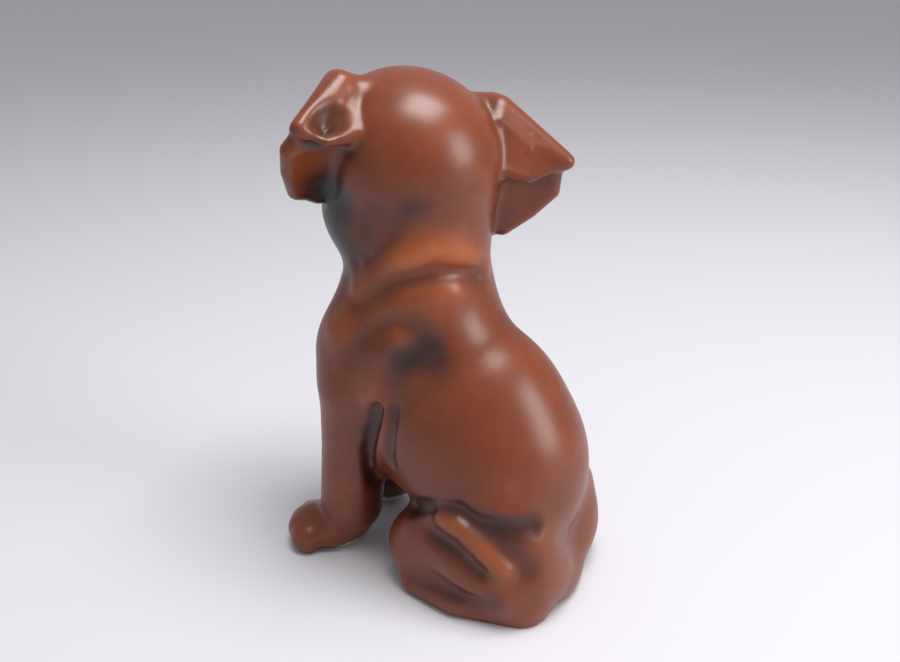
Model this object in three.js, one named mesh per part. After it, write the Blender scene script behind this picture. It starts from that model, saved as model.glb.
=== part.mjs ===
// A sitting puppy figurine in glazed porcelain, cast as one piece. The body faces -Y and the dog's
// left side is +X. The head looks round to the dog's right. Millimetres, +Z up, on its underside.
//
// The figure is modelled as clay is: rounded lumps are joined softly, folds and hollows are pressed
// in, and the skin of the result is found on a grid and becomes one closed mesh.
import * as THREE from "three";
import { SimplifyModifier } from "three/addons/modifiers/SimplifyModifier.js";

// Driving dimensions
const HEIGHT = 190;
const HEAD_TURN = -42; // degrees from straight ahead, below zero to the dog's right
const HEAD_NOD = -3; // below zero lifts the nose
const HEAD_TILT = -10; // below zero lowers the right ear
const HEAD_AT = [1, -13, 161.5];
const LEG_SPREAD = 16; // middle plane to the middle of a foreleg
const PAW_SPLAY = 28; // degrees that a forepaw points outwards
const KNEE_SPREAD = 21;

// Fineness of the mesh
const CELL = 2;
const TRIANGLES = 9600;
const GRID_LOW = [-58, -76, -5];
const GRID_HIGH = [58, 66, 197];

const PULLS = 3; // how often each corner is pulled on to the skin
const PROBE = 0.05;
const LEAST_SLOPE = 0.3;
const FAR = 1e3; // a distance further off than any lump
const NEAR = 6; // lumps further off than this don't change the skin
const LINE_REACH = 2.6; // how many of its widths a line reaches to each side
const MODELLED_HEIGHT = 190; // the lumps below are given for a figure of this height
const LEFT = 1;
const RIGHT = -1;
const SIDES = [LEFT, RIGHT];
const JOINED = 1;
const CUT_AWAY = -1;
const CELL_CORNERS = [0, 1, 2, 3, 4, 5, 6, 7].map((c) => [c & 1, (c >> 1) & 1, (c >> 2) & 1]);

const toVector = (point) => new THREE.Vector3(...point);
const radians = (degrees) => THREE.MathUtils.degToRad(degrees);
const turned = ([x, y, z]) =>
  new THREE.Matrix4().makeRotationFromEuler(new THREE.Euler(radians(x), radians(y), radians(z), "ZYX"));

const mirrored = (points, side) => points.map(([x, y, z]) => [side * x, y, z]);

const body = new THREE.Matrix4();
const head = turned([HEAD_NOD, HEAD_TILT, HEAD_TURN]).setPosition(toVector(HEAD_AT));
// In the head's own frame x is the dog's left, -y is where the nose points and z is up.

// The lumps of clay, in the order they are pressed on, and the lines pressed into the skin
const lumps = [];
const lines = [];

// Every lump has a distance from its skin, below zero inside, and a sphere that holds it.
function press(distance, centre, reach, softness, way) {
  lumps.push({ distance, centre, reach, softness, way });
}

function ball(frame, at, radii, softness, angles = [0, 0, 0], way = JOINED) {
  const centre = toVector(at).applyMatrix4(frame);
  const toLocal = frame.clone().multiply(turned(angles)).setPosition(centre).invert();
  const [a, b, c] = radii;
  const q = new THREE.Vector3();
  const distance = (p) => {
    q.copy(p).applyMatrix4(toLocal);
    const nearness = Math.hypot(q.x / a, q.y / b, q.z / c);
    const slope = Math.hypot(q.x / a ** 2, q.y / b ** 2, q.z / c ** 2);
    return (nearness * (nearness - 1)) / Math.max(slope, Number.EPSILON);
  };
  press(distance, centre, Math.max(...radii), softness, way);
}

// A rounded bar through a row of points, with its own radius at each point
function limb(frame, points, radii, softness) {
  const row = points.map((point) => toVector(point).applyMatrix4(frame));
  const bars = row.slice(1).map((end, i) => new THREE.Line3(row[i], end));
  const near = new THREE.Vector3();
  const distance = (p) => {
    let least = Infinity;
    bars.forEach((bar, i) => {
      const t = bar.closestPointToPointParameter(p, true);
      const radius = THREE.MathUtils.lerp(radii[i], radii[i + 1], t);
      least = Math.min(least, bar.at(t, near).distanceTo(p) - radius);
    });
    return least;
  };
  const { centre, reach } = holder(row, Math.max(...radii));
  press(distance, centre, reach, softness, JOINED);
}

// A flat fan of corners with rounded edges, with its own half thickness at each corner
function plate(frame, corners, radii, softness) {
  const row = corners.map((corner) => toVector(corner).applyMatrix4(frame));
  const fan = row.slice(2).map((last, i) => ({
    triangle: new THREE.Triangle(row[0], row[i + 1], last),
    radii: new THREE.Vector3(radii[0], radii[i + 1], radii[i + 2]),
  }));
  const near = new THREE.Vector3();
  const weights = new THREE.Vector3();
  const distance = (p) => {
    let least = Infinity;
    for (const leaf of fan) {
      leaf.triangle.closestPointToPoint(p, near);
      leaf.triangle.getBarycoord(near, weights);
      least = Math.min(least, near.distanceTo(p) - weights.dot(leaf.radii));
    }
    return least;
  };
  const { centre, reach } = holder(row, Math.max(...radii));
  press(distance, centre, reach, softness, JOINED);
}

function holder(row, radius) {
  const centre = new THREE.Box3().setFromPoints(row).getCenter(new THREE.Vector3());
  return { centre, reach: radius + Math.max(...row.map((point) => point.distanceTo(centre))) };
}

// A line in the skin: pressed in where depth is above zero, raised where it is below
function line(frame, points, width, depth) {
  const row = points.map((point) => toVector(point).applyMatrix4(frame));
  const bars = row.slice(1).map((end, i) => new THREE.Line3(row[i], end));
  const { centre, reach } = holder(row, LINE_REACH * width);
  lines.push({ bars, width, depth, centre, reach });
}

// The lesser of two distances, rounded off where they are closer together than the softness
function softLeast(a, b, softness) {
  const overlap = Math.max(softness - Math.abs(a - b), 0);
  return Math.min(a, b) - overlap ** 2 / (4 * softness);
}

const nearPoint = new THREE.Vector3();

function distanceToSkin(p) {
  let d = FAR;
  for (const { distance, centre, reach, softness, way } of lumps) {
    const gap = p.distanceTo(centre) - reach;
    if (gap > softness + NEAR) {
      d = way === JOINED ? Math.min(d, Math.max(gap, NEAR)) : d;
      continue;
    }
    d = way * softLeast(way * d, distance(p), softness);
  }
  for (const { bars, width, depth, centre, reach } of lines) {
    if (p.distanceTo(centre) > reach) continue;
    const off = Math.min(...bars.map((bar) => bar.closestPointToPoint(p, true, nearPoint).distanceTo(p)));
    d += depth * Math.exp(-((off / width) ** 2));
  }
  return Math.max(d, -p.z); // cut off flat underneath
}

function torso() {
  ball(body, [0, -14, 98], [25, 25, 25], 10); // withers
  ball(body, [0, 4, 72], [29, 37, 31], 12); // ribs
  ball(body, [0, 10, 56], [33, 41, 30], 14); // belly and loin
  ball(body, [0, 22, 38], [32, 31, 32], 14); // rump
  ball(body, [0, -23, 84], [21, 24, 27], 12); // breast
  ball(body, [0, -13, 48], [20, 18, 21], 8); // front of the belly
  ball(body, [3, 47, 5], [13, 9, 8], 5); // stub of the tail
}

function neck() {
  limb(body, [[0.5, -13, 154], [0, -14, 124], [0, -13, 100]], [27, 26, 26], 14);
  ball(body, [4, -29, 108], [15, 11, 12], 8); // loose skin at the throat
}

function haunch(side) {
  ball(body, [side * KNEE_SPREAD, 25, 24], [17, 27, 27], 8); // thigh
  ball(body, [side * 14, 37, 13], [20, 18, 16], 8); // seat
  ball(body, [side * KNEE_SPREAD, 2, 15], [15, 17, 16], 6); // knee
  limb(body, [[side * 25, 3, 24], [side * 31, 20, 22], [side * 30, 36, 13]], [9, 9, 9], 5); // shank
  limb(body, [[side * 29, 2, 5], [side * 32, 20, 6], [side * 23, 40, 5]], [8, 8.5, 12], 4); // foot
}

function foreleg(side) {
  ball(body, [side * 17, -25, 86], [14, 23, 25], 8); // shoulder
  const shoulder = [side * (LEG_SPREAD + 1), -31, 72];
  const elbow = [side * LEG_SPREAD, -35, 46];
  const wrist = [side * LEG_SPREAD, -38, 18];
  limb(body, [shoulder, elbow, wrist], [15, 13, 12.5], 7);
  ball(body, [side * (LEG_SPREAD + 4), -47, 7], [12, 16, 9], 5, [0, 0, side * PAW_SPLAY]);
  for (const toe of [-1.5, -0.5, 0.5, 1.5]) {
    const angle = radians(side * (PAW_SPLAY - 2 + toe * 21));
    const at = [side * (LEG_SPREAD + 2) + 16.5 * Math.sin(angle), -42 - 16 * Math.cos(angle), 5.5];
    ball(body, at, [4.6, 6, 6], 2.5);
  }
}

function skull() {
  ball(head, [1, 0, -1], [30, 28, 27], 6);
  ball(head, [4, -8, 7], [24, 18, 18], 8); // forehead
  SIDES.forEach((side) => ball(head, [side * 12, -10, -24], [16, 19, 18], 9)); // cheek
  ball(head, [0, -30, -11], [15, 17, 12], 7); // muzzle
  ball(head, [0, -29, -26], [11, 13, 8], 4); // chin
}

function face() {
  for (const side of SIDES) {
    ball(head, [side * 8, -35, -18], [9.5, 11, 12], 4); // upper lip
    ball(head, [side * 12, -20.5, 7], [9, 7, 5], 6); // brow
    ball(head, [side * 13, -29, -1], [6.5, 5, 5], 4, [0, 0, 0], CUT_AWAY); // eye socket
    ball(head, [side * 12.5, -23.5, -1], [5.2, 4.6, 4.8], 1); // eye
    const lip = [[0, -44, -24], [7, -42, -29], [13, -36, -31], [18, -27, -30]];
    line(head, mirrored(lip, side), 1.8, 2.2);
    line(head, mirrored([[3, -26, 11], [5, -25, 17], [7, -19, 23]], side), 2.4, 0.8); // frown
  }
  ball(head, [0, -47, -6], [7, 4.5, 5.5], 1.5); // nose
  line(head, [[0, -50, -10], [0, -48, -16], [0, -44, -24]], 1.6, 2); // cleft below it
}

// Each ear folds forward over a crest that runs from the skull out to a corner. Behind the crest a
// face of the ear runs down to a rim, round a middle that bulges or is hollow. In front of it the flap
// hangs down to its edge.
const LEFT_EAR = {
  side: LEFT,
  crest: [30, -1, 18],
  corner: [45, 12, 6],
  shoulder: [28, 1, 15],
  middle: [34, 10, 9],
  fullness: 3,
  root: [27, 12, 6],
  rim: [36, 14.5, 4],
  edge: [[46, 9, -2], [44, 4, -10], [40, -2, -18]],
  inside: [32, -5, -20],
  base: [33, 1, 1],
};
const RIGHT_EAR = {
  side: RIGHT,
  crest: [26, 3, 17.5],
  corner: [48, 18.5, 6],
  shoulder: [24, 8, 14],
  middle: [34, 10, 7],
  fullness: 7,
  root: [24, 14, 0],
  rim: [35, 17, -1],
  edge: [[47, 13, -6], [42, 9, -15], [35, 5.5, -23]],
  inside: [27, 4, -22],
  base: [33, 3.5, -1],
};
const EAR_FRONT = [27, -14, 0]; // where the flap's front meets the head
const EAR_START = [22, -3, 15]; // where the crest leaves the skull
const FLAP_EDGE = 2.3; // half the thickness there

function ear({ side, crest, corner, shoulder, middle, fullness, root, rim, edge, inside, base }) {
  const at = ([x, y, z], dx = 0, dy = 0, dz = 0) => [side * (x + dx), y + dy, z + dz];
  ball(head, at(base), [7, 5.5, 9.5], 3); // the ear is thick where it joins the head
  const flap = edge.map((point) => at(point));
  const thin = edge.map(() => FLAP_EDGE);
  const front = [at(crest, 0, -5, 0), at(corner, -2, -2.5, -0.5), ...flap, at(EAR_FRONT)];
  plate(head, front, [4.5, 2, ...thin, 4], 3);
  const back = [at(root, -2, -6, -1), at(corner, -4, -4, -2), ...flap, at(inside)];
  plate(head, back, [4, 2, ...thin, 3], 4);
  limb(head, [at(EAR_START), at(crest), at(corner)], [7, 5, 2.3], 4);
  const around = [at(shoulder), at(crest), at(corner, -1, 0, 0), at(rim), at(root), at(shoulder)];
  plate(head, [at(middle), ...around], [fullness, 4, 4, 2, 2.4, 3.5, 4], 2.5);
}

function ears() {
  ear(LEFT_EAR);
  ear(RIGHT_EAR);
  ball(head, [LEFT * 35, 13.5, 10], [6.5, 4.5, 4], 4, [0, 35, 25], CUT_AWAY); // the left one is hollow
}

// Folds of loose skin round the nape and the left side of the neck, ridges and valleys by turns
function napeFolds() {
  const upperRidge = [[-2, 12, 124], [10, 11, 130], [21, 2, 134], [26, -9, 129], [25, -24, 117]];
  const valley = [[4, 12, 122], [19, 4, 126], [26, -9, 122], [27, -16, 116], [28, -23, 110]];
  const lowerRidge = [[16, 8, 118], [25, -3, 118], [27, -13, 114], [28, -25, 108], [28, -33, 100]];
  line(body, upperRidge, 4.5, -1.3);
  line(body, valley, 3.8, 1.5);
  line(body, lowerRidge, 6, -1.2);
  line(body, [[27, -4, 149], [27, -9, 140], [26, -18, 129]], 3.2, 0.9);
  line(body, [[29, -14, 149], [26, -19, 139], [24, -25, 126]], 3, 0.8);
}

function flankLines(side) {
  const both = (points, width, depth) => line(body, mirrored(points, side), width, depth);
  both([[32, -25, 91], [31, -22, 97], [30, -17, 104], [28, -9, 108], [26, -1, 107], [24, 5, 102]], 3.6, 1);
  both([[29, -6, 102], [30, -10, 98], [31, -14, 89], [31, -17, 79]], 4.5, -1.6); // shoulder blade
  both([[31, -11, 88], [29, -6, 96], [27, 1, 99], [25, 5, 95]], 6, 1.8); // hollow behind it
  both([[30, -14, 74], [28, -18, 63], [25, -22, 51], [20, -24, 35]], 3, 2.2); // back of the leg
  both([[30, -11, 76], [30, -12, 67], [27, -17, 55], [21, -22, 42]], 2.2, -1.8);
  both([[30, -8, 75], [31, -9, 63], [29, -10, 53]], 2.6, 1.6);
}

function haunchLines(side) {
  const both = (points, width, depth) => line(body, mirrored(points, side), width, depth);
  const crease = [[28, -2, 35], [34, 12, 43], [35, 21, 45], [35, 28, 42], [31, 41, 41], [27, 46, 41]];
  both(crease, 3.4, 2.6);
  both([[35, 14, 41], [37, 25, 38], [37, 32, 32], [36, 39, 26]], 4.2, -2.2); // shank
  both([[36, 11, 32], [38, 19, 31], [39, 25, 28], [38, 31, 24]], 3.4, 1.8);
  both([[36, 31, 39], [34, 39, 33], [32, 46, 26]], 4.5, 1.8); // hip
  both([[37, 1, 9], [39, 15, 10], [39, 26, 11], [39, 36, 13]], 3.2, 1.2); // foot
}

// The distance at every point of the grid
function gridOfDistances(low, [nx, ny, nz]) {
  const values = new Float32Array(nx * ny * nz);
  const p = new THREE.Vector3();
  let i = 0;
  for (let z = 0; z < nz; z++) {
    for (let y = 0; y < ny; y++) {
      for (let x = 0; x < nx; x++) {
        values[i] = distanceToSkin(p.set(x, y, z).multiplyScalar(CELL).add(low));
        i++;
      }
    }
  }
  return values;
}

// The middle of the points where the skin crosses the edges of one grid cell, or null for none
function crossingOf(values, cell, steps) {
  const middle = new THREE.Vector3();
  let crossings = 0;
  for (const corner of CELL_CORNERS) {
    const from = cell + corner[0] * steps[0] + corner[1] * steps[1] + corner[2] * steps[2];
    for (const axis of [0, 1, 2]) {
      if (corner[axis]) continue;
      const [a, b] = [values[from], values[from + steps[axis]]];
      if (a < 0 === b < 0) continue;
      const at = [...corner];
      at[axis] = a / (a - b);
      middle.add(toVector(at));
      crossings++;
    }
  }
  return crossings ? middle.divideScalar(crossings) : null;
}

// The skin: one corner in each grid cell that it passes through, and two triangles across each grid
// edge that it crosses
function skin() {
  const low = toVector(GRID_LOW);
  const counts = toVector(GRID_HIGH).sub(low).divideScalar(CELL).ceil().addScalar(1).toArray();
  const [nx, ny, nz] = counts;
  const steps = [1, nx, nx * ny];
  const values = gridOfDistances(low, counts);
  const corners = [];
  const cornerOf = new Map();
  for (let z = 0; z < nz - 1; z++) {
    for (let y = 0; y < ny - 1; y++) {
      for (let x = 0; x < nx - 1; x++) {
        const cell = x + y * steps[1] + z * steps[2];
        const crossing = crossingOf(values, cell, steps);
        if (!crossing) continue;
        cornerOf.set(cell, corners.length);
        corners.push(crossing.add(new THREE.Vector3(x, y, z)).multiplyScalar(CELL).add(low));
      }
    }
  }
  const triangles = [];
  for (const cell of cornerOf.keys()) {
    for (const axis of [0, 1, 2]) {
      const inside = values[cell] < 0;
      if (inside === values[cell + steps[axis]] < 0) continue;
      const [u, v] = [steps[(axis + 1) % 3], steps[(axis + 2) % 3]];
      const ring = [cell, cell - u, cell - u - v, cell - v].map((c) => cornerOf.get(c));
      if (!inside) ring.reverse();
      triangles.push(ring[0], ring[1], ring[2], ring[0], ring[2], ring[3]);
    }
  }
  corners.forEach(pullToSkin);
  return new THREE.BufferGeometry().setFromPoints(corners).setIndex(triangles);
}

// Moves a corner of the mesh along the slope of the distance until it lies on the skin
function pullToSkin(corner) {
  const slope = new THREE.Vector3();
  const aside = new THREE.Vector3();
  for (let pass = 0; pass < PULLS; pass++) {
    for (const axis of ["x", "y", "z"]) {
      aside.copy(corner)[axis] += PROBE;
      const ahead = distanceToSkin(aside);
      aside[axis] -= 2 * PROBE;
      slope[axis] = (ahead - distanceToSkin(aside)) / (2 * PROBE);
    }
    const steepness = Math.max(slope.length(), LEAST_SLOPE);
    const step = THREE.MathUtils.clamp(distanceToSkin(corner) / steepness, -CELL / 3, CELL / 3);
    corner.addScaledVector(slope.normalize(), -step);
  }
}

torso();
neck();
SIDES.forEach(haunch);
SIDES.forEach(foreleg);
skull();
face();
ears();
napeFolds();
SIDES.forEach(flankLines);
SIDES.forEach(haunchLines);

const fine = skin();
const spare = Math.round(fine.attributes.position.count * (1 - TRIANGLES / (fine.index.count / 3)));
const geometry = await new SimplifyModifier().modify(fine, spare);
geometry.computeBoundingBox();
const middle = geometry.boundingBox.getCenter(new THREE.Vector3());
geometry.translate(-middle.x, -middle.y, 0);
geometry.scale(...Array(3).fill(HEIGHT / MODELLED_HEIGHT));

const glaze = new THREE.MeshStandardMaterial({ color: 0x8a4420, roughness: 0.3, metalness: 0 });
const figurine = new THREE.Mesh(geometry, glaze);
figurine.name = "dog_figurine";

const group = new THREE.Group();
group.add(figurine);

export default group;
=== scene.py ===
import bmesh
import bpy
import numpy as np
from mathutils import Matrix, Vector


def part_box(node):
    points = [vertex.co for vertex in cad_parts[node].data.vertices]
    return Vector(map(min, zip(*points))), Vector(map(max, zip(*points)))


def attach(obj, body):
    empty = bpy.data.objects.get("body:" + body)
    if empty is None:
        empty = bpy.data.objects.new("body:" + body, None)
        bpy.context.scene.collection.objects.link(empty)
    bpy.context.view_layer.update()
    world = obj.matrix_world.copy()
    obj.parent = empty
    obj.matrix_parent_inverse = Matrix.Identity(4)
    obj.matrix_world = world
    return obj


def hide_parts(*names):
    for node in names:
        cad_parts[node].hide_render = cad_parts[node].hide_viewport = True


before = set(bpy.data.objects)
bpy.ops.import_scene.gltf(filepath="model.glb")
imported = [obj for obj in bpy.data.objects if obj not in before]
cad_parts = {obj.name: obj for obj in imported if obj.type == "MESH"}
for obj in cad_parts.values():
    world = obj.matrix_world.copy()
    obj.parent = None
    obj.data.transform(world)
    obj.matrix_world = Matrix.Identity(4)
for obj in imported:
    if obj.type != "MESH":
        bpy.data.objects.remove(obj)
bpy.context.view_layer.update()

# Driving dimensions of the clay, in millimetres and degrees. In the head's own frame x is the dog's left,
# -y is where the nose points and z is up.
HEAD_TURN = -42
HEAD_NOD = -3
HEAD_TILT = -10
HEAD_AT = (1, -13, 161.5)
LEG_SPREAD = 16
PAW_SPLAY = 28
KNEE_SPREAD = 21

LEFT = 1
RIGHT = -1
SIDES = (LEFT, RIGHT)
JOINED = 1
CUT_AWAY = -1

# Fineness of the mesh
CELL = 1.1
BLOCK = 4  # grid cells along the side of a block
GRID_LOW = (-58, -76, -5)
GRID_HIGH = (58, 66, 197)
NEAR = 6  # lumps further off than this don't change the skin
LINE_REACH = 2.6  # how many of its widths a line reaches to each side
FAR = 1e3
CELL_CORNERS = [(c & 1, c >> 1 & 1, c >> 2 & 1) for c in range(8)]

# The photograph's camera, about the same frame as the clay
PHOTO_SIZE = (900, 662)
FOCAL_PIXELS = 900
AZIMUTH = 118
ELEVATION = 24
CAMERA_BACK = 302
CAMERA_UP = 231
CAMERA_ASIDE = 2
CAST_FROM = 150
CAST_STEPS = 90


def turned(degrees):
    """The matrix of turns about x, then y, then z."""
    (cx, cy, cz), (sx, sy, sz) = np.cos(np.radians(degrees)), np.sin(np.radians(degrees))
    about_x = np.array([[1, 0, 0], [0, cx, -sx], [0, sx, cx]])
    about_y = np.array([[cy, 0, sy], [0, 1, 0], [-sy, 0, cy]])
    about_z = np.array([[cz, -sz, 0], [sz, cz, 0], [0, 0, 1]])
    return about_z @ about_y @ about_x


BODY = (np.eye(3), np.zeros(3))
HEAD = (turned((HEAD_NOD, HEAD_TILT, HEAD_TURN)), np.array(HEAD_AT, float))

# The lumps of clay, in the order they are pressed on, and the lines pressed into the skin
lumps = []
lines = []


def placed(frame_of, points):
    turn, at = frame_of
    return np.array(points, float) @ turn.T + at


def mirrored(points, side):
    return [(side * x, y, z) for x, y, z in points]


def holder(row, radius):
    """The middle of a row of points, and the radius of a sphere there that holds them all."""
    centre = (row.min(0) + row.max(0)) / 2
    return centre, radius + np.linalg.norm(row - centre, axis=1).max()


def ball(frame_of, at, radii, softness, angles=(0, 0, 0), way=JOINED):
    centre = placed(frame_of, at)
    to_local = frame_of[0] @ turned(angles)
    radii = np.array(radii, float)

    def distance(p):
        q = (p - centre) @ to_local
        nearness = np.linalg.norm(q / radii, axis=1)
        slope = np.linalg.norm(q / radii ** 2, axis=1)
        return nearness * (nearness - 1) / np.maximum(slope, 1e-6)

    lumps.append((distance, centre, radii.max(), softness, way))


def on_bar(p, start, end):
    """How far along a straight bar the point nearest to each of p lies, and how far off it is."""
    along = end - start
    t = np.clip((p - start) @ along / (along @ along), 0, 1)
    return t, np.linalg.norm(p - start - t[:, None] * along, axis=1)


def off_row(p, row):
    if len(row) == 1:
        return lengths(p - row)
    return np.min([on_bar(p, start, end)[1] for start, end in zip(row[:-1], row[1:])], axis=0)


def limb(frame_of, points, radii, softness):
    """A rounded bar through a row of points, with its own radius at each point."""
    row = placed(frame_of, points)

    def distance(p):
        least = np.full(len(p), np.inf)
        for i in range(len(row) - 1):
            t, off = on_bar(p, row[i], row[i + 1])
            least = np.minimum(least, off - radii[i] - t * (radii[i + 1] - radii[i]))
        return least

    centre, reach = holder(row, max(radii))
    lumps.append((distance, centre, reach, softness, JOINED))


def plate(frame_of, corners, radii, softness):
    """A flat fan of corners with rounded edges, with its own half thickness at each corner."""
    row = placed(frame_of, corners)
    thick = np.array(radii, float)

    def distance(p):
        least = np.full(len(p), np.inf)
        for i in range(1, len(row) - 1):
            leaf = [0, i, i + 1]
            weights = nearest_weights(p, *row[leaf])
            off = np.linalg.norm(p - weights @ row[leaf], axis=1) - weights @ thick[leaf]
            least = np.minimum(least, off)
        return least

    centre, reach = holder(row, thick.max())
    lumps.append((distance, centre, reach, softness, JOINED))


def nearest_weights(p, a, b, c):
    """The weights of a triangle's corners at its point nearest to each of p."""
    ab, ac, ap = b - a, c - a, p - a
    d00, d01, d11 = ab @ ab, ab @ ac, ac @ ac
    d20, d21 = ap @ ab, ap @ ac
    v = (d11 * d20 - d01 * d21) / (d00 * d11 - d01 * d01)
    w = (d00 * d21 - d01 * d20) / (d00 * d11 - d01 * d01)
    weights = np.stack([1 - v - w, v, w], 1)
    outside = np.flatnonzero((weights < 0).any(1))
    least = np.full(len(outside), np.inf)
    corners = (a, b, c)
    for i, j in ((0, 1), (1, 2), (2, 0)):
        t, off = on_bar(p[outside], corners[i], corners[j])
        closer = off < least
        least[closer] = off[closer]
        edge = np.zeros((closer.sum(), 3))
        edge[:, i] = 1 - t[closer]
        edge[:, j] = t[closer]
        weights[outside[closer]] = edge
    return weights


def line(frame_of, points, width, depth):
    """A line in the skin: pressed in where depth is above zero, raised where it is below."""
    row = placed(frame_of, points)
    centre, reach = holder(row, LINE_REACH * width)
    lines.append((row, width, depth, centre, reach))


def soft_least(a, b, softness):
    """The lesser of two distances, rounded off where they are closer together than the softness."""
    overlap = np.maximum(softness - np.abs(a - b), 0)
    return np.minimum(a, b) - overlap ** 2 / (4 * softness)


def within(p, centre, radius):
    return np.flatnonzero(((p - centre) ** 2).sum(1) < radius ** 2)


def distance_to_skin(p, near=NEAR):
    d = np.full(len(p), FAR)
    for distance, centre, reach, softness, way in lumps:
        here = within(p, centre, reach + softness + near)
        if len(here):
            d[here] = way * soft_least(way * d[here], distance(p[here]), softness)
    for row, width, depth, centre, reach in lines:
        here = within(p, centre, reach)
        if len(here):
            d[here] += depth * np.exp(-(off_row(p[here], row) / width) ** 2)
    return np.maximum(d, -p[:, 2])


def slope_of_skin(p, probe=0.05):
    steps = probe * np.eye(3)
    return np.stack([distance_to_skin(p + step) - distance_to_skin(p - step) for step in steps], 1) / (2 * probe)


def lengths(vectors):
    return np.linalg.norm(vectors, axis=1)


def pulled_to_skin(p, furthest, passes=3):
    """Moves points along the slope of the distance until they lie on the skin."""
    for _ in range(passes):
        slope = slope_of_skin(p)
        steepness = lengths(slope)
        step = np.clip(distance_to_skin(p) / np.maximum(steepness, 0.3), -furthest, furthest)
        p = p - slope / np.maximum(steepness, 1e-6)[:, None] * step[:, None]
    return p


def torso():
    ball(BODY, (0, -14, 98), (25, 25, 25), 10)  # withers
    ball(BODY, (0, 4, 72), (29, 37, 31), 12)  # ribs
    ball(BODY, (0, 10, 56), (33, 41, 30), 14)  # belly and loin
    ball(BODY, (0, 22, 38), (32, 31, 32), 14)  # rump
    ball(BODY, (0, -23, 84), (21, 24, 27), 12)  # breast
    ball(BODY, (0, -13, 48), (20, 18, 21), 8)  # front of the belly
    ball(BODY, (3, 47, 5), (13, 9, 8), 5)  # stub of the tail


def neck():
    limb(BODY, [(0.5, -13, 154), (0, -14, 124), (0, -13, 100)], [27, 26, 26], 14)
    ball(BODY, (4, -29, 108), (15, 11, 12), 8)  # loose skin at the throat


def haunch(side):
    ball(BODY, (side * KNEE_SPREAD, 25, 24), (17, 27, 27), 8)  # thigh
    ball(BODY, (side * 14, 37, 13), (20, 18, 16), 8)  # seat
    ball(BODY, (side * KNEE_SPREAD, 2, 15), (15, 17, 16), 6)  # knee
    limb(BODY, [(side * 25, 3, 24), (side * 31, 20, 22), (side * 30, 36, 13)], [9, 9, 9], 5)  # shank
    limb(BODY, [(side * 29, 2, 5), (side * 32, 20, 6), (side * 23, 40, 5)], [8, 8.5, 12], 4)  # foot


def foreleg(side):
    ball(BODY, (side * 17, -25, 86), (14, 23, 25), 8)  # shoulder
    shoulder = (side * (LEG_SPREAD + 1), -31, 72)
    elbow = (side * LEG_SPREAD, -35, 46)
    wrist = (side * LEG_SPREAD, -38, 18)
    limb(BODY, [shoulder, elbow, wrist], [15, 13, 12.5], 7)
    ball(BODY, (side * (LEG_SPREAD + 4), -47, 7), (12, 16, 9), 5, (0, 0, side * PAW_SPLAY))
    for toe in (-1.5, -0.5, 0.5, 1.5):
        angle = np.radians(side * (PAW_SPLAY - 2 + toe * 21))
        at = (side * (LEG_SPREAD + 2) + 16.5 * np.sin(angle), -42 - 16 * np.cos(angle), 5.5)
        ball(BODY, at, (4.6, 6, 6), 2.5)


def skull():
    ball(HEAD, (1, 0, -1), (30, 28, 27), 6)
    ball(HEAD, (4, -8, 7), (24, 18, 18), 8)  # forehead
    for side in SIDES:
        ball(HEAD, (side * 12, -10, -24), (16, 19, 18), 9)  # cheek
    ball(HEAD, (0, -30, -11), (15, 17, 12), 7)  # muzzle
    ball(HEAD, (0, -29, -26), (11, 13, 8), 4)  # chin


def face():
    for side in SIDES:
        ball(HEAD, (side * 8, -35, -18), (9.5, 11, 12), 4)  # upper lip
        ball(HEAD, (side * 12, -20.5, 7), (9, 7, 5), 6)  # brow
        ball(HEAD, (side * 13, -29, -1), (6.5, 5, 5), 4, way=CUT_AWAY)  # eye socket
        ball(HEAD, (side * 12.5, -23.5, -1), (5.2, 4.6, 4.8), 1)  # eye
        lip = [(0, -44, -24), (side * 7, -42, -29), (side * 13, -36, -31), (side * 18, -27, -30)]
        line(HEAD, lip, 1.8, 2.2)
        line(HEAD, [(side * 3, -26, 11), (side * 5, -25, 17), (side * 7, -19, 23)], 2.4, 0.8)
    ball(HEAD, (0, -47, -6), (7, 4.5, 5.5), 1.5)  # nose
    line(HEAD, [(0, -50, -10), (0, -48, -16), (0, -44, -24)], 1.6, 2)


LEFT_EAR = dict(side=LEFT, crest=(30, -1, 18), corner=(45, 12, 6), shoulder=(28, 1, 15), middle=(34, 10, 9),
                fullness=3, root=(27, 12, 6), rim=(36, 14.5, 4), edge=[(46, 9, -2), (44, 4, -10), (40, -2, -18)],
                inside=(32, -5, -20), base=(33, 1, 1))
RIGHT_EAR = dict(side=RIGHT, crest=(26, 3, 17.5), corner=(48, 18.5, 6), shoulder=(24, 8, 14), middle=(34, 10, 7),
                 fullness=7, root=(24, 14, 0), rim=(35, 17, -1), edge=[(47, 13, -6), (42, 9, -15), (35, 5.5, -23)],
                 inside=(27, 4, -22), base=(33, 3.5, -1))


def ear(side, crest, corner, shoulder, middle, fullness, root, rim, edge, inside, base):
    def at(point, dx=0, dy=0, dz=0):
        return (side * (point[0] + dx), point[1] + dy, point[2] + dz)

    ball(HEAD, at(base), (7, 5.5, 9.5), 3)
    flap = [at(point) for point in edge]
    thin = [2.3] * len(flap)
    plate(HEAD, [at(crest, 0, -5, 0), at(corner, -2, -2.5, -0.5), *flap, at((27, -14, 0))], [4.5, 2, *thin, 4], 3)
    plate(HEAD, [at(root, -2, -6, -1), at(corner, -4, -4, -2), *flap, at(inside)], [4, 2, *thin, 3], 4)
    limb(HEAD, [at((22, -3, 15)), at(crest), at(corner)], [7, 5, 2.3], 4)
    around = [at(shoulder), at(crest), at(corner, -1, 0, 0), at(rim), at(root), at(shoulder)]
    plate(HEAD, [at(middle), *around], [fullness, 4, 4, 2, 2.4, 3.5, 4], 2.5)


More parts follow.
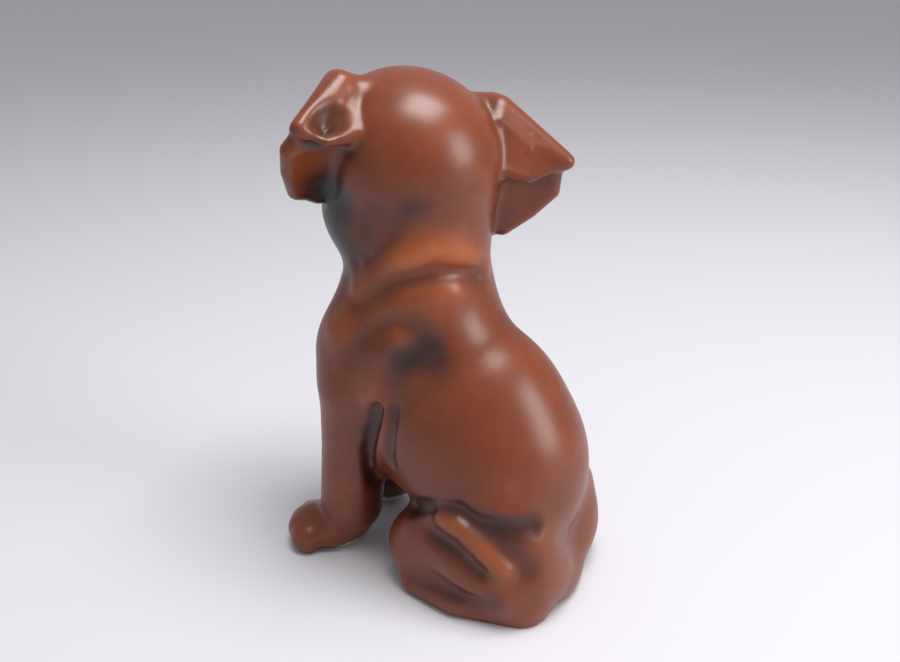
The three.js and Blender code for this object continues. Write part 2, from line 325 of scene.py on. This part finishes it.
def ears():
    ear(**LEFT_EAR)
    ear(**RIGHT_EAR)
    ball(HEAD, (LEFT * 35, 13.5, 10), (6.5, 4.5, 4), 4, (0, 35, 25), CUT_AWAY)


def nape_folds():
    line(BODY, [(-2, 12, 124), (10, 11, 130), (21, 2, 134), (26, -9, 129), (25, -24, 117)], 4.5, -1.3)
    line(BODY, [(4, 12, 122), (19, 4, 126), (26, -9, 122), (27, -16, 116), (28, -23, 110)], 3.8, 1.5)
    line(BODY, [(16, 8, 118), (25, -3, 118), (27, -13, 114), (28, -25, 108), (28, -33, 100)], 6, -1.2)
    line(BODY, [(27, -4, 149), (27, -9, 140), (26, -18, 129)], 3.2, 0.9)
    line(BODY, [(29, -14, 149), (26, -19, 139), (24, -25, 126)], 3, 0.8)


def flank_lines(side):
    def both(points, width, depth):
        line(BODY, mirrored(points, side), width, depth)

    both([(32, -25, 91), (31, -22, 97), (30, -17, 104), (28, -9, 108), (26, -1, 107), (24, 5, 102)], 3.6, 1)
    both([(29, -6, 102), (30, -10, 98), (31, -14, 89), (31, -17, 79)], 4.5, -1.6)  # shoulder blade
    both([(31, -11, 88), (29, -6, 96), (27, 1, 99), (25, 5, 95)], 6, 1.8)  # hollow behind it
    both([(30, -14, 74), (28, -18, 63), (25, -22, 51), (20, -24, 35)], 3, 2.2)  # back of the leg
    both([(30, -11, 76), (30, -12, 67), (27, -17, 55), (21, -22, 42)], 2.2, -1.8)
    both([(30, -8, 75), (31, -9, 63), (29, -10, 53)], 2.6, 1.6)


def haunch_lines(side):
    def both(points, width, depth):
        line(BODY, mirrored(points, side), width, depth)

    both([(28, -2, 35), (34, 12, 43), (35, 21, 45), (35, 28, 42), (31, 41, 41), (27, 46, 41)], 3.4, 2.6)
    both([(35, 14, 41), (37, 25, 38), (37, 32, 32), (36, 39, 26)], 4.2, -2.2)  # shank
    both([(36, 11, 32), (38, 19, 31), (39, 25, 28), (38, 31, 24)], 3.4, 1.8)
    both([(36, 31, 39), (34, 39, 33), (32, 46, 26)], 4.5, 1.8)  # hip
    both([(37, 1, 9), (39, 15, 10), (39, 26, 11), (39, 36, 13)], 3.2, 1.2)  # foot


def folds():
    nape_folds()
    for side in SIDES:
        flank_lines(side)
        haunch_lines(side)


def model_clay():
    torso()
    neck()
    for side in SIDES:
        haunch(side)
    for side in SIDES:
        foreleg(side)
    skull()
    face()
    ears()
    folds()


def grid_points(counts):
    return np.stack(np.meshgrid(*map(np.arange, counts), indexing="ij"), -1).reshape(-1, 3)


def window(values, start, counts):
    return values[tuple(slice(s, s + n) for s, n in zip(start, counts))]


def grid_distances(low):
    """The distance at every grid point, worked out in full only in the blocks near the skin."""
    side = CELL * BLOCK
    counts = np.ceil((np.array(GRID_HIGH) - low) / side).astype(int)
    rough = distance_to_skin(low + side * grid_points(counts + 1), near=2 * side).reshape(counts + 1)
    close = np.abs(rough) < 2 * side
    near_blocks = np.any([window(close, corner, counts) for corner in CELL_CORNERS], axis=0)
    values = np.full(counts * BLOCK + 1, FAR)
    values[:-1, :-1, :-1] = np.kron(window(rough, (0, 0, 0), counts), np.ones((BLOCK, BLOCK, BLOCK)))
    wanted = np.zeros(values.shape, bool)
    in_block = grid_points((BLOCK + 1,) * 3)
    wanted[tuple((np.argwhere(near_blocks)[:, None] * BLOCK + in_block).reshape(-1, 3).T)] = True
    values[wanted] = distance_to_skin(low + CELL * np.argwhere(wanted))
    return values


def crossings(values, cells):
    """The middle of the points where the skin crosses each cell's edges, from 0 to 1 along each axis."""
    at_corner = [values[tuple((cells + corner).T)] for corner in CELL_CORNERS]
    total = np.zeros((len(cells), 3))
    count = np.zeros(len(cells))
    for i, corner in enumerate(CELL_CORNERS):
        for axis in (0, 1, 2):
            if corner[axis]:
                continue
            a, b = at_corner[i], at_corner[i + (1 << axis)]
            crossed = (a < 0) != (b < 0)
            total[crossed] += corner
            total[crossed, axis] += a[crossed] / (a[crossed] - b[crossed])
            count += crossed
    return total / count[:, None]


def skin():
    """One point in each grid cell that the skin passes through, and a face across each edge it crosses."""
    low = np.array(GRID_LOW, float)
    values = grid_distances(low)
    inside = values < 0
    counts = np.array(values.shape) - 1
    corners_inside = np.sum([window(inside, corner, counts) for corner in CELL_CORNERS], axis=0)
    crossed_cells = (corners_inside > 0) & (corners_inside < len(CELL_CORNERS))
    cells = np.argwhere(crossed_cells)
    number = np.full(crossed_cells.shape, -1)
    number[crossed_cells] = np.arange(len(cells))
    faces = []
    axes = np.eye(3, dtype=int)
    for axis in (0, 1, 2):
        u, v = axes[(axis + 1) % 3], axes[(axis + 2) % 3]
        starts = np.argwhere(window(inside, (0, 0, 0), counts) != window(inside, axes[axis], counts))
        rings = np.stack([number[tuple((starts - back).T)] for back in (0 * u, u, u + v, v)], 1)
        leaving = inside[tuple(starts.T)]
        rings[~leaving] = rings[~leaving, ::-1]
        faces.append(rings)
    points = low + CELL * (cells + crossings(values, cells))
    return pulled_to_skin(points, CELL / 3), np.concatenate(faces)


# The photograph's camera as an eye and three directions, in the clay's frame
def photo_camera():
    azimuth, elevation = np.radians([AZIMUTH, ELEVATION])
    away = np.array([-np.sin(azimuth), np.cos(azimuth), 0])
    upright = np.array([0, 0, 1])
    eye = CAMERA_UP * upright - CAMERA_BACK * away + np.array([CAMERA_ASIDE, 0, 0])
    forward = away * np.cos(elevation) - upright * np.sin(elevation)
    right = np.cross(forward, upright) / np.linalg.norm(np.cross(forward, upright))
    return eye, forward, right, np.cross(right, forward)


def seen(pixels):
    """The points of the skin that show at these pixels of the photograph."""
    eye, forward, right, up = photo_camera()
    x, y = (np.array(pixels, float) - np.array(PHOTO_SIZE) / 2).T[:, :, None] / FOCAL_PIXELS
    aim = forward + x * right - y * up
    aim /= lengths(aim)[:, None]
    far = np.full(len(aim), float(CAST_FROM))
    for _ in range(CAST_STEPS):
        far += np.clip(0.8 * distance_to_skin(eye + far[:, None] * aim), -3, NEAR)
    return eye + far[:, None] * aim


# Paint: strokes of the airbrush, with painted shade and painted highlight among them. Tone is above zero where the
# brown is brighter or a highlight is painted, and below where it is darker or shade is painted.
strokes = []


def spray(layer, row, width, amount):
    row = np.array(row, float)
    strokes.append((layer, row, width, amount))


def spray_seen(layer, pixels, width, amount, both=False):
    row = seen(pixels)
    spray(layer, row, width, amount)
    if both:
        spray(layer, row * (-1, 1, 1), width, amount)


def painted(points, layer):
    """How much of a layer's paint lies at each point."""
    total = np.zeros(len(points))
    for of_layer, row, width, amount in strokes:
        if of_layer != layer:
            continue
        centre, reach = holder(row, LINE_REACH * width)
        here = within(points, centre, reach)
        if len(here):
            total[here] += amount * np.exp(-(off_row(points[here], row) / width) ** 2)
    return total


# Where the photograph shows what, in its pixels
CHEEK_BLACK = [(336, 196), (330, 222), (338, 244)]
NAPE_ORANGE = [(404, 262), (432, 254), (462, 262)]
NAPE_SPOT = [(420, 208)]
# Painted shade in the hollow behind each shoulder
SHOULDER_HOLLOW_SHADE = [(384, 352), (404, 360), (424, 352)]
THROAT_DARK = [(372, 300), (350, 322), (338, 338)]


def airbrush_browns_and_shade():
    spray_seen("tone_and_shade", CHEEK_BLACK, 9, -2.2, both=True)
    spray_seen("tone_and_shade", NAPE_ORANGE, 7, 0.8)
    spray_seen("tone_and_shade", NAPE_SPOT, 4, -0.6)
    spray_seen("tone_and_shade", SHOULDER_HOLLOW_SHADE, 5, -0.8, both=True)
    # Each pressed line is sprayed darker and each raised line lighter: painted shade in the creases and painted
    # highlight on the ridges.
    for row, width, depth, centre, reach in lines:
        spray("tone_and_shade", row, 1.2 * width, -0.35 * depth)


def bare_whites():
    for side in SIDES:
        spray("white", [(side * 16, -40, 0), (side * 21, -58, 0)], 10, 1.4)
    spray("white", [(0, -47, 90), (0, -46, 74)], 10, 1.5)


def black_features():
    spray("black", placed(HEAD, [(0, -51, -6)]), 6, 2)
    for side in SIDES:
        spray("black", placed(HEAD, [(side * 12.5, -29, -1)]), 4, 2)


def hollowness(points, probe):
    """How far each point lies in a hollow, from 0 on a bulge towards 1 in a tight fold."""
    outward = slope_of_skin(points)
    outward /= np.maximum(lengths(outward), 1e-6)[:, None]
    return np.clip(1 - distance_to_skin(points + probe * outward) / probe, 0, 1)


def paint_layers(points):
    airbrush_browns_and_shade()
    bare_whites()
    black_features()
    # Darker still in every hollow, by how deep it is: painted shade.
    tone_and_shade = painted(points, "tone_and_shade") - 1.2 * hollowness(points, 7)
    return {"tone_and_shade": tone_and_shade, "white": painted(points, "white"), "black": painted(points, "black")}


# Material of the glaze
class Nodes:
    """Adds shader nodes to a tree, each by its kind, with its settings and what its sockets take."""

    def __init__(self, tree):
        self.tree = tree

    def add(self, kind, takes=(), **settings):
        node = self.tree.nodes.new("ShaderNode" + kind)
        for name, value in settings.items():
            setattr(node, name, value)
        for socket, value in dict(takes).items():
            self.give(node.inputs[socket], value)
        return node

    def give(self, socket, value):
        if isinstance(value, bpy.types.NodeSocket):
            self.tree.links.new(value, socket)
        else:
            socket.default_value = value

    def maths(self, operation, *values):
        node = self.add("Math", dict(enumerate(values)), operation=operation)
        return node.outputs[0]

    def mix(self, share, a, b):
        return self.add("Mix", {0: share, 6: a, 7: b}, data_type="RGBA").outputs[2]

    def between(self, value, low, high):
        """0 up to low and 1 from high, with a smooth step between them."""
        takes = {"Value": value, "From Min": low, "From Max": high}
        return self.add("MapRange", takes, interpolation_type="SMOOTHSTEP").outputs[0]

    def noise(self, place, size, detail=2.0, rough=0.5):
        """Noise from -1 to 1, about an even scale of size in metres."""
        takes = {"Vector": place, "Scale": 1 / size, "Detail": detail, "Roughness": rough}
        value = self.add("TexNoise", takes).outputs["Fac"]
        return self.maths("MULTIPLY_ADD", value, 2.0, -1.0)

    def attribute(self, name):
        return self.add("Attribute", attribute_name=name).outputs["Fac"]

    def ramp(self, value, stops):
        node = self.add("ValToRGB", {0: value})
        elements = node.color_ramp.elements
        while len(elements) < len(stops):
            elements.new(0.5)
        for element, (at, colour) in zip(elements, stops):
            element.position = at
            element.color = (*colour, 1)
        return node.outputs[0]


BROWNS = (
    (0.00, (0.010, 0.006, 0.005)),
    (0.25, (0.050, 0.013, 0.006)),
    (0.50, (0.170, 0.034, 0.009)),
    (0.75, (0.340, 0.080, 0.016)),
    (1.00, (0.520, 0.170, 0.045)),
)
BARE_BODY = (0.72, 0.66, 0.56, 1)
BLACK = (0.010, 0.009, 0.009, 1)


def glaze():
    material = bpy.data.materials.new("painted_glaze")
    material.use_nodes = True
    tree = material.node_tree
    shader = tree.nodes["Principled BSDF"]
    nodes = Nodes(tree)
    place = nodes.add("TexCoord").outputs["Object"]
    mottle = nodes.noise(place, 0.016, 3.0)
    streaks = nodes.noise(place, 0.004, 2.0)
    # The tone attribute carries the airbrushed browns together with painted shade in folds and hollows and painted
    # highlight on raised folds.
    tone_and_shade = nodes.maths("MULTIPLY_ADD", mottle, 0.35, nodes.attribute("tone_and_shade"))
    tone_and_shade = nodes.maths("MULTIPLY_ADD", streaks, 0.10, tone_and_shade)
    brown = nodes.ramp(nodes.maths("MULTIPLY_ADD", tone_and_shade, 0.25, 0.5), BROWNS)
    ragged = nodes.maths("MULTIPLY_ADD", streaks, 0.25, nodes.attribute("white"))
    colour = nodes.mix(nodes.between(ragged, 0.45, 0.62), brown, BARE_BODY)
    colour = nodes.mix(nodes.between(nodes.attribute("black"), 0.5, 0.8), colour, BLACK)
    nodes.give(shader.inputs["Base Color"], colour)
    shader.inputs["Roughness"].default_value = 0.34
    return material


def dress(points, faces):
    solid_low, solid_high = (np.array(corner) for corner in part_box("dog_figurine"))
    size = np.ptp(points, axis=0)
    middle = points.min(0) + size / 2
    floor_middle = np.array([middle[0], middle[1], 0])
    metres = (points - floor_middle) * (solid_high[2] - solid_low[2]) / size[2]
    metres += (*((solid_low + solid_high) / 2)[:2], solid_low[2])
    mesh = bpy.data.meshes.new("porcelain_puppy")
    mesh.from_pydata(metres.tolist(), [], faces.tolist())
    for name, values in paint_layers(points).items():
        mesh.attributes.new(name, "FLOAT", "POINT").data.foreach_set("value", values)
    mesh.polygons.foreach_set("use_smooth", np.ones(len(mesh.polygons), bool))
    mesh.materials.append(glaze())
    puppy = bpy.data.objects.new("porcelain_puppy", mesh)
    bpy.context.collection.objects.link(puppy)
    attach(puppy, "root")
    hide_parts("dog_figurine")
    return middle


def floor():
    mesh = bpy.data.meshes.new("floor")
    edge = 6.0
    corners = [(-edge, -edge, 0), (edge, -edge, 0), (edge, edge, 0), (-edge, edge, 0)]
    mesh.from_pydata(corners, [], [(0, 1, 2, 3)])
    plain = bpy.data.materials.new("floor")
    plain.use_nodes = True
    plain.node_tree.nodes["Principled BSDF"].inputs["Base Color"].default_value = (0.62, 0.61, 0.64, 1)
    plain.node_tree.nodes["Principled BSDF"].inputs["Roughness"].default_value = 0.6
    mesh.materials.append(plain)
    ground = bpy.data.objects.new("floor", mesh)
    bpy.context.collection.objects.link(ground)


def towards(direction, upright=(0, 0, 1)):
    """The turn that points an object's -z along a direction, with its y upwards."""
    back = -np.array(direction, float) / np.linalg.norm(direction)
    right = np.cross(upright, back)
    right /= np.linalg.norm(right)
    return Matrix(np.stack([right, np.cross(back, right), back], 1).tolist()).to_4x4()


def camera(middle):
    eye, forward, right, up = photo_camera()
    data = bpy.data.cameras.new("camera")
    data.sensor_width = 36
    data.lens = 36 * FOCAL_PIXELS / PHOTO_SIZE[0]
    data.clip_start = 0.01
    shown = bpy.data.objects.new("camera", data)
    at = (eye - (middle[0], middle[1], 0)) * 0.001
    shown.matrix_world = Matrix.Translation(at.tolist()) @ towards(forward)
    bpy.context.collection.objects.link(shown)
    bpy.context.scene.camera = shown


def softbox(name, azimuth, elevation, far, size, power):
    azimuth, elevation = np.radians([azimuth, elevation])
    level = np.cos(elevation)
    direction = np.array([level * np.cos(azimuth), level * np.sin(azimuth), np.sin(elevation)])
    data = bpy.data.lights.new(name, "AREA")
    data.shape = "RECTANGLE"
    data.size, data.size_y = size
    data.energy = power
    light = bpy.data.objects.new(name, data)
    light.matrix_world = Matrix.Translation((direction * far + (0, 0, 0.1)).tolist()) @ towards(-direction)
    bpy.context.collection.objects.link(light)


def studio():
    softbox("overhead", 97, 78, 0.9, (0.5, 0.5), 9)
    softbox("side", 95, 20, 1.2, (0.5, 0.7), 8)
    world = bpy.data.worlds.new("room")
    world.use_nodes = True
    world.node_tree.nodes["Background"].inputs["Color"].default_value = (0.75, 0.75, 0.78, 1)
    world.node_tree.nodes["Background"].inputs["Strength"].default_value = 0.6
    bpy.context.scene.world = world
    bpy.context.scene.view_settings.view_transform = "Standard"


model_clay()
middle_of_clay = dress(*skin())
floor()
camera(middle_of_clay)
studio()
